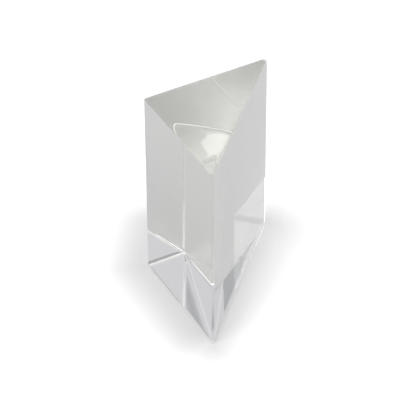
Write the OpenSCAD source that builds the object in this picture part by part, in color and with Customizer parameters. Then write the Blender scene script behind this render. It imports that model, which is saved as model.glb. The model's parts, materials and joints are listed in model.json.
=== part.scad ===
// Right-angle glass prism, standing on one of its triangular ends.
// It is one block of clear glass, cut and polished all over: two leg faces that meet at the apex edge,
// a wider base face opposite that edge, and two triangular ends.
// The origin is at the middle of the foot. The base face looks towards -Y and the apex edge is at +Y.

/* [Block] */
// Width of each leg face, from the sharp apex edge to the sharp base edge
leg_width = 32.5; // [10:0.5:80]
// Height of the block, from end to end
block_height = 50; // [15:0.5:120]
// Angle between the two leg faces
apex_angle = 90; // [45:1:120]

/* [Edges] */
// Radius that eases the three upright edges
edge_radius = 0.4; // [0.1:0.1:2]
// Width of the flat bevel round both ends, measured across each face
end_bevel = 0.4; // [0.1:0.1:2]

/* [Hidden] */
$fn = 64;

// Clear glass that looks pale grey on white, with its opacity last
glass_colour = [0.84, 0.85, 0.84, 0.5];

half_apex = apex_angle / 2;
base_angle = 90 - half_apex;
base_width = 2 * leg_width * sin(half_apex);
apex_depth = leg_width * cos(half_apex);

// Distance from the sharp apex edge to the eased one
apex_setback = edge_radius / sin(half_apex) - edge_radius;
// Depth of the finished block, which the origin halves
block_depth = apex_depth - apex_setback;

// Outward normals of the upright faces, seen from above
left_normal = [-cos(half_apex), sin(half_apex)];
right_normal = [cos(half_apex), sin(half_apex)];
base_normal = [0, -1];

// Axes of the eased upright edges, with the base face on the X axis
apex_axis = [0, apex_depth - edge_radius / sin(half_apex)];
right_axis = [base_width / 2 - edge_radius / tan(base_angle / 2), edge_radius];
left_axis = [-right_axis[0], right_axis[1]];
edge_axes = [apex_axis, right_axis, left_axis];

// Where the flat faces run into the eased edges
face_ends = [
    apex_axis + edge_radius * left_normal,
    apex_axis + edge_radius * right_normal,
    right_axis + edge_radius * right_normal,
    right_axis + edge_radius * base_normal,
    left_axis + edge_radius * base_normal,
    left_axis + edge_radius * left_normal
];

// Each upright face as the middle of its foot and the heading along its foot
right_face = [[base_width / 4, apex_depth / 2], -base_angle];
left_face = [[-base_width / 4, apex_depth / 2], base_angle];
base_face = [[0, 0], 0];
upright_faces = [right_face, left_face, base_face];

// Side of the square bar that takes off one bevel, and a length that passes both corners of every face
bevel_bar = end_bevel * sqrt(2);
bevel_bar_length = base_width + leg_width;

// Block with eased upright edges and sharp ends, its base face on the X axis
module blank() {
    linear_extrude(height = block_height)
        polygon(face_ends);
    for (axis = edge_axes)
        translate(axis)
            cylinder(r = edge_radius, h = block_height);
}

// Square bar lying on the edge between one upright face and an end, turned so that it cuts the bevel there
module bevel_cut(face, level) {
    translate([face[0][0], face[0][1], level])
        rotate([0, 0, face[1]])
            rotate([45, 0, 0])
                cube([bevel_bar_length, bevel_bar, bevel_bar], center = true);
}

module prism() {
    color(glass_colour)
        translate([0, -block_depth / 2, 0])
            difference() {
                blank();
                for (level = [0, block_height], face = upright_faces)
                    bevel_cut(face, level);
            }
}

prism();
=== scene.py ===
"""Looks of a right-angle glass prism: a polished mesh for the plain solid, on a white table."""
import json
import math

import bpy
from mathutils import Matrix, Vector


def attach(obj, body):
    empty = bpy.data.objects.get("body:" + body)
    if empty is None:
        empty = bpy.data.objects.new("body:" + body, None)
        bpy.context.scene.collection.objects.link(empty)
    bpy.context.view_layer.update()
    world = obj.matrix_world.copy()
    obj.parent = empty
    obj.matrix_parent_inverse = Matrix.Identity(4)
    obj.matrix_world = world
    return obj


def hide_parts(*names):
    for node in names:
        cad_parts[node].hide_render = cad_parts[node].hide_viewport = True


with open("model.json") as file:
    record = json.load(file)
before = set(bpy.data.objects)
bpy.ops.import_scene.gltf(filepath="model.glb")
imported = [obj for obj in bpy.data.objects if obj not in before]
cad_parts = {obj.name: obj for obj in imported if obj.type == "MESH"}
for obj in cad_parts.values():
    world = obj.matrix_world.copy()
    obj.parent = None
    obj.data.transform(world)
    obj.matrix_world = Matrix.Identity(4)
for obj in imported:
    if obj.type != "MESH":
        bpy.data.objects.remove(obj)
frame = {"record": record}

MM = 0.001
WHITE = (1.0, 1.0, 1.0, 1.0)

# Radii of the upright edges, and of their tips at the two ends in the order right, back and front
EDGE_RADIUS = 0.4 * MM
TOP_TIPS = (0.6 * MM, 0.4 * MM, 0.4 * MM)
FOOT_TIPS = (0.4 * MM, 0.4 * MM, 0.4 * MM)
TIP_DEPTH = 2.2 * MM

# Flat bevel that cuts into the round of each upright edge, in the same order
BEVEL_ROUND = 0.05 * MM
BEVEL_WAYS = (math.radians(6.5), math.radians(90), math.radians(189))
BEVEL_SET = (0.06 * MM, 0.001 * MM, 0.11 * MM)

# Polish of the two ends: a small rim, a rolled border and a flat middle
TOP_RIM = 0.01 * MM
FOOT_RIM = 0.22 * MM
TOP_ROLL = 2.8 * MM
FOOT_ROLL = 2.4 * MM
ROLL_SLOPE = math.radians(12)
ROLL_POWER = 3
MIDDLE_INSET = 9.2 * MM
MIDDLE_RADIUS = 0.15 * MM

# Gentle fall of the two ends at the base face, the right leg face and the left leg face
TOP_SLOPES = (0.0, 0.0, math.radians(2.5))
FOOT_SLOPES = (math.radians(2.8), 0.0, 0.0)
WIDE_ROLL = 9.0 * MM
WIDE_POWER = 1.8

# Fineness of the mesh, and the narrow strips that keep its flat faces flat
CORNER_STEPS = 5
SIDE_STEPS = 24
ROLL_STEPS = 16
RIM_STEPS = 6
TIP_STEPS = 8
MIDDLE_STEPS = 16
SUPPORT = 0.03 * MM
SUPPORT_SHARE = 0.4

# Glass
GLASS_IOR = 1.5
EDGE_ROUGHNESS = 0.05
GLASS_ABSORB_COLOUR = (0.59, 0.61, 0.30, 1.0)
GLASS_ABSORB_DENSITY = 2.0

# Camera, as the photograph was taken
CAMERA_AZIMUTH = math.radians(-73.45)
CAMERA_ELEVATION = math.radians(39.22)
CAMERA_ROLL = math.radians(-0.44)
CAMERA_DISTANCE = 555.8 * MM
CAMERA_SHIFT_RIGHT = -2.057 * MM
CAMERA_SHIFT_UP = -1.099 * MM
IMAGE_SIZE = 400
FOCAL_PIXELS = 2397
SENSOR_WIDTH = 36.0
CLIP_START = 0.01
CLIP_END = 20.0

# Table
FLOOR_SIZE = 6.0
FLOOR_GAP = 0.1 * MM
FLOOR_COLOUR = (0.56, 0.56, 0.56, 1.0)
FLOOR_LIFT = 0.10

# White of the table in a camera's view, and the painted shade left round the foot of the block
WHITE_IN_PAINTED_SHADE = 0.19
PAINTED_SHADE_REACH = 16.3 * MM
WHITE_LIFT = 0.12
SHADE_BEHIND = Vector((15 * MM, 2.6 * MM))
SHADE_SHORT = 6.5 * MM
SHADE_NARROW = 3.7 * MM

# Room, with the walls between two heights that are sines of the elevation
HORIZON_COLOUR = WHITE
WALL_COLOUR = (0.65, 0.649, 0.685, 1.0)
WALL_FROM = 0.60
WALL_TO = 0.74
CEILING_COLOUR = (1.6, 1.6, 1.55, 1.0)
BACKDROP_HEADING = math.radians(22.8)
BACKDROP_RISE = 1.162
BACKDROP_BLUR = 0.03
DARK_ROOM_COLOUR = (0.35, 0.355, 0.37, 1.0)
DARK_ROOM_HEADING = math.radians(28)
DARK_ROOM_ELEVATION = math.radians(38)
DARK_ROOM_INNER = math.radians(36.5)
DARK_ROOM_OUTER = math.radians(42.3)
LOW_WALL_COLOUR = (0.33, 0.335, 0.35, 1.0)
LOW_WALL_HEADING = math.radians(286)
LOW_WALL_ELEVATION = math.radians(21)
LOW_WALL_INNER = math.radians(14)
LOW_WALL_OUTER = math.radians(18)

# Key lamp
KEY_HEADING = math.radians(150)
KEY_ELEVATION = math.radians(42)
KEY_DISTANCE = 1.0
KEY_SIZE = 0.44
KEY_RADIANCE = 3.5

# Light paths
MOST_BOUNCES = 32
GLASS_BOUNCES = 24
DIFFUSE_BOUNCES = 6
SURE_BOUNCES = 12

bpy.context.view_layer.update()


def mount(name):
    """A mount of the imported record: a point on the flat face, and the way that the face looks."""
    found = next(row for row in frame["record"]["mounts"] if row["name"] == name)
    return Vector(found["pos_m"]), Vector(found["axis"])


def with_next(items):
    """Each item of a closed round, paired with the one after it."""
    return list(zip(items, items[1:] + items[:1]))


def corner_point(first, second, inset):
    """Where two upright faces meet, seen from above, after both have moved inwards by inset."""
    (place_a, out_a), (place_b, out_b) = first, second
    reach_a = out_a.x * place_a.x + out_a.y * place_a.y - inset
    reach_b = out_b.x * place_b.x + out_b.y * place_b.y - inset
    turn = out_a.x * out_b.y - out_a.y * out_b.x
    x = (reach_a * out_b.y - reach_b * out_a.y) / turn
    y = (reach_b * out_a.x - reach_a * out_b.x) / turn
    return Vector((x, y))


# The upright faces in the order that goes round the block against the clock, seen from above
UPRIGHT_FACES = [mount(name) for name in ("base_face", "right_leg_face", "left_leg_face")]
BLOCK_HEIGHT = mount("top_end")[0].z

# The upright edges in the order right, back and front: their two faces, and where they stand
EDGE_FACES = with_next(UPRIGHT_FACES)
CORNERS = [corner_point(first, second, 0.0) for first, second in EDGE_FACES]


def facing(face):
    """The angle that an upright face looks along, seen from above."""
    out = face[1]
    return math.atan2(out.y, out.x)


def round_arc(centre, radius, start, end):
    """Points on an arc from one angle to another, against the clock, seen from above."""
    turn = (end - start) % math.tau
    angles = [start + turn * i / CORNER_STEPS for i in range(CORNER_STEPS + 1)]
    return [centre + radius * Vector((math.cos(angle), math.sin(angle))) for angle in angles]


def corner_arc(edge, inset, radius):
    """Points over one upright edge, face to face: a narrow flat bevel between two small rounds."""
    first, second = EDGE_FACES[edge]
    way = BEVEL_WAYS[edge]
    out = Vector((math.cos(way), math.sin(way)))
    reach = radius + inset - BEVEL_SET[edge]
    bevel = (corner_point(first, second, inset + radius) + out * reach, out)
    small = max(BEVEL_ROUND, radius - EDGE_RADIUS + BEVEL_ROUND)
    before = round_arc(corner_point(first, bevel, inset + small), small, facing(first), way)
    after = round_arc(corner_point(bevel, second, inset + small), small, way, facing(second))
    across = after[0] - before[-1]
    keep = across * min(SUPPORT_SHARE, SUPPORT / across.length)
    return before + [before[-1] + keep, after[0] - keep] + after


def side_points(start, end):
    """Points along a flat face between two eased edges, with one close to each edge."""
    along = end - start
    margin = SUPPORT / along.length
    shares = [margin + (1 - 2 * margin) * i / SIDE_STEPS for i in range(SIDE_STEPS + 1)]
    return [start + along * share for share in shares]


def ring(inset, radii, level):
    """A closed loop round the block at one level, with a radius for each of its three edges."""
    arcs = [corner_arc(edge, inset, radius) for edge, radius in enumerate(radii)]
    loop = []
    for arc, next_arc in with_next(arcs):
        loop += arc
        loop += side_points(arc[-1], next_arc[0])
    return [(point.x, point.y, level) for point in loop]


def roll_profile(rim, width):
    """Steps over the rolled border of an end: how far in from the wall, and how far it drops."""
    span = width - rim * (1 - math.sin(ROLL_SLOPE))
    steps = [(width + SUPPORT, 0.0)]
    for i in range(ROLL_STEPS + 1):
        share = i / ROLL_STEPS
        drop = ROLL_SLOPE * span * share ** (ROLL_POWER + 1) / (ROLL_POWER + 1)
        steps.append((width - span * share, drop))
    return steps


def rim_profile(rim, start):
    """Steps round the small rim between the rolled border and the wall."""
    steps = []
    for i in range(1, RIM_STEPS + 1):
        tilt = ROLL_SLOPE + (math.pi / 2 - ROLL_SLOPE) * i / RIM_STEPS
        drop = start + rim * (math.cos(ROLL_SLOPE) - math.cos(tilt))
        steps.append((rim * (1 - math.sin(tilt)), drop))
    return steps


def blend(starts, ends, share):
    """Values on the way from those at the start to those at the end."""
    return [start + (end - start) * share for start, end in zip(starts, ends)]


def border_radii(tips, inset):
    """Edge radii of a loop on the border of an end, which grow with the distance from the wall."""
    return [tip + inset for tip in tips]


def middle_loops(tips, level, width):
    """Loops over the flat middle of an end, from its centre out to the rolled border."""
    border_inset = width + SUPPORT
    border = border_radii(tips, border_inset)
    centre = len(tips) * [MIDDLE_RADIUS]
    loops = []
    for i in range(MIDDLE_STEPS):
        share = 1 - i / MIDDLE_STEPS
        inset = border_inset + (MIDDLE_INSET - border_inset) * share
        loops.append(ring(inset, blend(border, centre, share), level))
    return loops


def end_loops(level, way, rim, tips, width):
    """Loops from the middle of an end, over its border and rim, to where the edges run even."""
    border = roll_profile(rim, width)
    border += rim_profile(rim, border[-1][1])
    loops = middle_loops(tips, level, width)
    for inset, drop in border:
        loops.append(ring(inset, border_radii(tips, inset), level + way * drop))
    rim_end = border[-1][1]
    loops.append(ring(0.0, tips, level + way * (rim_end + SUPPORT)))
    even = len(tips) * [EDGE_RADIUS]
    for i in range(1, TIP_STEPS + 1):
        share = i / TIP_STEPS
        ease = (1 + math.cos(math.pi * share)) / 2
        depth = rim_end + (TIP_DEPTH - rim_end) * share
        loops.append(ring(0.0, blend(even, tips, ease), level + way * depth))
    return loops


def wide_roll(point, slopes):
    """How far an end falls away at a point, from its slope at each upright face."""
    fall = 0.0
    for (place, out), slope in zip(UPRIGHT_FACES, slopes):
        depth = (place - point).dot(out)
        near = max(0.0, 1 - depth / WIDE_ROLL)
        fall += slope * WIDE_ROLL * near ** (WIDE_POWER + 1) / (WIDE_POWER + 1)
    return fall


def soften(point):
    """A point of the block, moved where an end close by falls away towards the upright faces."""
    x, y, z = point
    near_foot = max(0.0, 1 - z / TIP_DEPTH)
    near_top = max(0.0, 1 - (BLOCK_HEIGHT - z) / TIP_DEPTH)
    place = Vector(point)
    rise = near_foot * wide_roll(place, FOOT_SLOPES) - near_top * wide_roll(place, TOP_SLOPES)
    return (x, y, z + rise)


def loop_faces(rows, count):
    """Faces between loops of points, closed at both ends, and a mark for each: 1 on an eased edge."""
    # An edge has the faces of two rounds, and three across the bevel between them
    arc_faces = 2 * CORNER_STEPS + 3
    steps_per_edge = count // len(CORNERS)
    # Rows are counted from the end that is closer
    roll_end = MIDDLE_STEPS + ROLL_STEPS + 1
    rim_rows = range(roll_end, roll_end + RIM_STEPS)
    faces = [tuple(range(count))]
    eased = [0.0]
    for row in range(rows):
        from_end = min(row, rows - 1 - row)
        here = row * count
        below = here + count
        for step in range(count):
            after = (step + 1) % count
            faces.append((here + step, below + step, below + after, here + after))
            on_edge = step % steps_per_edge < arc_faces and from_end >= roll_end
            eased.append(1.0 if from_end in rim_rows or on_edge else 0.0)
    faces.append(tuple(rows * count + step for step in reversed(range(count))))
    eased.append(0.0)
    return faces, eased


def build_prism():
    """The polished block as one closed mesh, with a mark on the faces of its eased edges."""
    top = end_loops(BLOCK_HEIGHT, -1, TOP_RIM, TOP_TIPS, TOP_ROLL)
    foot = end_loops(0.0, 1, FOOT_RIM, FOOT_TIPS, FOOT_ROLL)
    loops = top + foot[::-1]
    faces, eased = loop_faces(len(loops) - 1, len(loops[0]))
    mesh = bpy.data.meshes.new("glass_prism")
    mesh.from_pydata([soften(point) for loop in loops for point in loop], [], faces)
    mesh.attributes.new("eased", "FLOAT", "FACE").data.foreach_set("value", eased)
    mesh.shade_smooth()
    piece = bpy.data.objects.new("glass_prism", mesh)
    bpy.context.scene.collection.objects.link(piece)
    return piece


def set_input(tree, socket, value):
    """Give a node's input what it reads: another node's output, or a constant."""
    if isinstance(value, bpy.types.NodeSocket):
        tree.links.new(value, socket)
    else:
        socket.default_value = value


def math_node(tree, operation, first, second):
    """One step of arithmetic on two numbers, each an output or a constant."""
    node = tree.nodes.new("ShaderNodeMath")
    node.operation = operation
    set_input(tree, node.inputs[0], first)
    set_input(tree, node.inputs[1], second)
    return node.outputs["Value"]


def vector_node(tree, operation, first, second):
    """One step of arithmetic on two vectors, each an output or a constant."""
    node = tree.nodes.new("ShaderNodeVectorMath")
    node.operation = operation
    set_input(tree, node.inputs[0], first)
    set_input(tree, node.inputs[1], second)
    return node


def soft_step(tree, value, low, high, least):
    """A soft rise from least, where the value is low, to 1, where it is high."""
    node = tree.nodes.new("ShaderNodeMapRange")
    node.interpolation_type = "SMOOTHSTEP"
    node.inputs["From Min"].default_value = low
    node.inputs["From Max"].default_value = high
    node.inputs["To Min"].default_value = least
    tree.links.new(value, node.inputs["Value"])
    return node.outputs["Result"]


def mix_colours(tree, share, first, second):
    """A colour on the way from the first to the second, each an output or a constant."""
    node = tree.nodes.new("ShaderNodeMix")
    node.data_type = "RGBA"
    tree.links.new(share, node.inputs["Factor"])
    set_input(tree, node.inputs["A"], first)
    set_input(tree, node.inputs["B"], second)
    return node.outputs["Result"]


def glass_material():
    """Clear polished glass with slightly satin edges, which tints the light a little on its way."""
    material = bpy.data.materials.new("clear_glass")
    material.use_nodes = True
    tree = material.node_tree
    shader = tree.nodes["Principled BSDF"]
    shader.inputs["Base Color"].default_value = WHITE
    shader.inputs["Transmission Weight"].default_value = 1.0
    shader.inputs["IOR"].default_value = GLASS_IOR
    eased = tree.nodes.new("ShaderNodeAttribute")
    eased.attribute_name = "eased"
    satin = math_node(tree, "MULTIPLY", eased.outputs["Fac"], EDGE_ROUGHNESS)
    tree.links.new(satin, shader.inputs["Roughness"])
    absorption = tree.nodes.new("ShaderNodeVolumeAbsorption")
    absorption.inputs["Color"].default_value = GLASS_ABSORB_COLOUR
    absorption.inputs["Density"].default_value = GLASS_ABSORB_DENSITY
    tree.links.new(absorption.outputs["Volume"], tree.nodes["Material Output"].inputs["Volume"])
    return material


def line_distance(tree, place, start, end):
    """How far a place on the table is from a straight line between two points."""
    along = end - start
    from_start = vector_node(tree, "SUBTRACT", place, start.to_3d()).outputs["Vector"]
    per_length = (along / along.length_squared).to_3d()
    ahead = vector_node(tree, "DOT_PRODUCT", from_start, per_length).outputs["Value"]
    share = math_node(tree, "MINIMUM", math_node(tree, "MAXIMUM", ahead, 0.0), 1.0)
    nearest = vector_node(tree, "MULTIPLY", along.to_3d(), share).outputs["Vector"]
    return vector_node(tree, "DISTANCE", from_start, nearest).outputs["Value"]


def outside_painted_shade(tree):
    """How far a place on the table lies outside the painted shade: small beside the foot of the block,
    and 1 well away from it.
    """
    place = tree.nodes.new("ShaderNodeTexCoord").outputs["Object"]
    right, back, front = CORNERS
    behind = back + SHADE_BEHIND
    before_front = front + (back - front).normalized() * SHADE_SHORT
    # The painted shade is wider along the left side and behind the back corner than on the sides by
    # the right corner
    dark = math_node(
        tree, "MINIMUM",
        line_distance(tree, place, before_front, back),
        line_distance(tree, place, back, behind),
    )
    pale = math_node(
        tree, "MINIMUM",
        line_distance(tree, place, behind, right),
        line_distance(tree, place, right, front),
    )
    painted_shade_distance = math_node(tree, "MINIMUM", dark, math_node(tree, "ADD", pale, SHADE_NARROW))
    return soft_step(tree, painted_shade_distance, 0.0, PAINTED_SHADE_REACH, WHITE_IN_PAINTED_SHADE)


def table_material():
    """A pale matt grey, which a camera sees turn white away from the block, with painted shade left
    beside its foot.
    """
    material = bpy.data.materials.new("white_table")
    material.use_nodes = True
    tree = material.node_tree
    shader = tree.nodes["Principled BSDF"]
    shader.inputs["Roughness"].default_value = 1.0
    shader.inputs["Specular IOR Level"].default_value = 0.0
    shader.inputs["Emission Color"].default_value = WHITE
    rays = tree.nodes.new("ShaderNodeLightPath").outputs
    # A camera sees white except in the painted shade round the foot, which holds back both the white
    # colour and the extra white emission
    white_past_painted_shade = math_node(tree, "MULTIPLY", rays["Is Camera Ray"], outside_painted_shade(tree))
    tree.links.new(mix_colours(tree, white_past_painted_shade, FLOOR_COLOUR, WHITE), shader.inputs["Base Color"])
    by_glass = math_node(tree, "MAXIMUM", rays["Is Glossy Ray"], rays["Is Transmission Ray"])
    seen = math_node(tree, "MAXIMUM", rays["Is Camera Ray"], by_glass)
    lift = math_node(tree, "MULTIPLY", seen, FLOOR_LIFT)
    white = math_node(tree, "MULTIPLY", white_past_painted_shade, WHITE_LIFT)
    tree.links.new(math_node(tree, "ADD", lift, white), shader.inputs["Emission Strength"])
    material.cycles.emission_sampling = "NONE"
    return material


def build_floor():
    """A wide table top that keeps the block's shadow, with painted shade round its foot in a camera's
    view.
    """
    half = FLOOR_SIZE / 2
    mesh = bpy.data.meshes.new("floor")
    flat = [(-half, -half), (half, -half), (half, half), (-half, half)]
    mesh.from_pydata([(x, y, -FLOOR_GAP) for x, y in flat], [], [(0, 1, 2, 3)])
    floor = bpy.data.objects.new("floor", mesh)
    bpy.context.scene.collection.objects.link(floor)
    mesh.materials.append(table_material())


def sky_direction(heading, elevation):
    """The way from the block towards a place in the room."""
    level = math.cos(elevation)
    return Vector((level * math.cos(heading), level * math.sin(heading), math.sin(elevation)))


def sky_share(tree, view, way, low, high):
    """How far the view turns towards one way: 0 up to the low cosine and 1 from the high one on."""
    toward = vector_node(tree, "DOT_PRODUCT", view, way).outputs["Value"]
    return soft_step(tree, toward, low, high, 0.0)


def room_colours(tree, view):
    """A pale horizon, greyer walls above it and a light ceiling."""
    height = tree.nodes.new("ShaderNodeSeparateXYZ")
    tree.links.new(view, height.inputs["Vector"])
    room = tree.nodes.new("ShaderNodeValToRGB")
    stops = room.color_ramp.elements
    stops[0].color = HORIZON_COLOUR
    stops[1].color = CEILING_COLOUR
    for position in (WALL_FROM, WALL_TO):
        stops.new(position).color = WALL_COLOUR
    tree.links.new(height.outputs["Z"], room.inputs["Fac"])
    return room.outputs["Color"]


def build_world():
    """A plain room, with a darker room over the backdrop and a dark low wall to the camera's right."""
    world = bpy.data.worlds.new("studio")
    world.use_nodes = True
    tree = world.node_tree
    view = tree.nodes.new("ShaderNodeTexCoord").outputs["Generated"]
    rise = BACKDROP_RISE * sky_direction(BACKDROP_HEADING, 0.0)
    over_edge = Vector((-rise.x, -rise.y, 1)).normalized()
    above = sky_share(tree, view, over_edge, -BACKDROP_BLUR / 2, BACKDROP_BLUR / 2)
    dark = sky_direction(DARK_ROOM_HEADING, DARK_ROOM_ELEVATION)
    near_dark = sky_share(tree, view, dark, math.cos(DARK_ROOM_OUTER), math.cos(DARK_ROOM_INNER))
    in_dark = math_node(tree, "MULTIPLY", near_dark, above)
    colour = mix_colours(tree, in_dark, room_colours(tree, view), DARK_ROOM_COLOUR)
    low = sky_direction(LOW_WALL_HEADING, LOW_WALL_ELEVATION)
    near_low = sky_share(tree, view, low, math.cos(LOW_WALL_OUTER), math.cos(LOW_WALL_INNER))
    colour = mix_colours(tree, near_low, colour, LOW_WALL_COLOUR)
    tree.links.new(colour, tree.nodes["Background"].inputs["Color"])
    bpy.context.scene.world = world


def build_key_lamp():
    """A square softbox that looks at the middle of the block."""
    data = bpy.data.lights.new("key", "AREA")
    data.shape = "SQUARE"
    data.size = KEY_SIZE
    data.energy = KEY_RADIANCE * math.pi * KEY_SIZE ** 2
    lamp = bpy.data.objects.new("key", data)
    way = sky_direction(KEY_HEADING, KEY_ELEVATION)
    lamp.matrix_world = way.to_track_quat("Z", "Y").to_matrix().to_4x4()
    lamp.location = Vector((0, 0, BLOCK_HEIGHT / 2)) + way * KEY_DISTANCE
    bpy.context.scene.collection.objects.link(lamp)


def build_camera():
    """The camera at the photograph's place, looking past the middle of the block."""
    turn, tilt = CAMERA_AZIMUTH, CAMERA_ELEVATION
    level = math.cos(tilt)
    back = Vector((math.sin(turn) * level, -math.cos(turn) * level, math.sin(tilt)))
    level_right = Vector((math.cos(turn), math.sin(turn), 0))
    level_up = back.cross(level_right)
    right = math.cos(CAMERA_ROLL) * level_right + math.sin(CAMERA_ROLL) * level_up
    up = back.cross(right)
    middle = sum(CORNERS, Vector((0, 0))) / len(CORNERS)
    aim = Vector((middle.x, middle.y, BLOCK_HEIGHT / 2))
    place = aim + back * CAMERA_DISTANCE + right * CAMERA_SHIFT_RIGHT + up * CAMERA_SHIFT_UP
    data = bpy.data.cameras.new("camera")
    data.sensor_width = SENSOR_WIDTH
    data.lens = SENSOR_WIDTH * FOCAL_PIXELS / IMAGE_SIZE
    data.clip_start = CLIP_START
    data.clip_end = CLIP_END
    camera = bpy.data.objects.new("camera", data)
    camera.matrix_world = Matrix((
        (right.x, up.x, back.x, place.x),
        (right.y, up.y, back.y, place.y),
        (right.z, up.z, back.z, place.z),
        (0, 0, 0, 1),
    ))
    bpy.context.scene.collection.objects.link(camera)
    bpy.context.scene.camera = camera


def set_render():
    """Plain colour, and enough bounces for light to find its way through the block."""
    scene = bpy.context.scene
    scene.view_settings.view_transform = "Standard"
    scene.cycles.max_bounces = MOST_BOUNCES
    scene.cycles.glossy_bounces = GLASS_BOUNCES
    scene.cycles.transmission_bounces = GLASS_BOUNCES
    scene.cycles.diffuse_bounces = DIFFUSE_BOUNCES
    scene.cycles.min_light_bounces = SURE_BOUNCES
    scene.cycles.use_adaptive_sampling = False
    scene.cycles.blur_glossy = 0.0


build_camera()
build_floor()
build_world()
build_key_lamp()
prism = build_prism()
prism.data.materials.append(glass_material())
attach(prism, "root")
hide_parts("prism")
set_render()
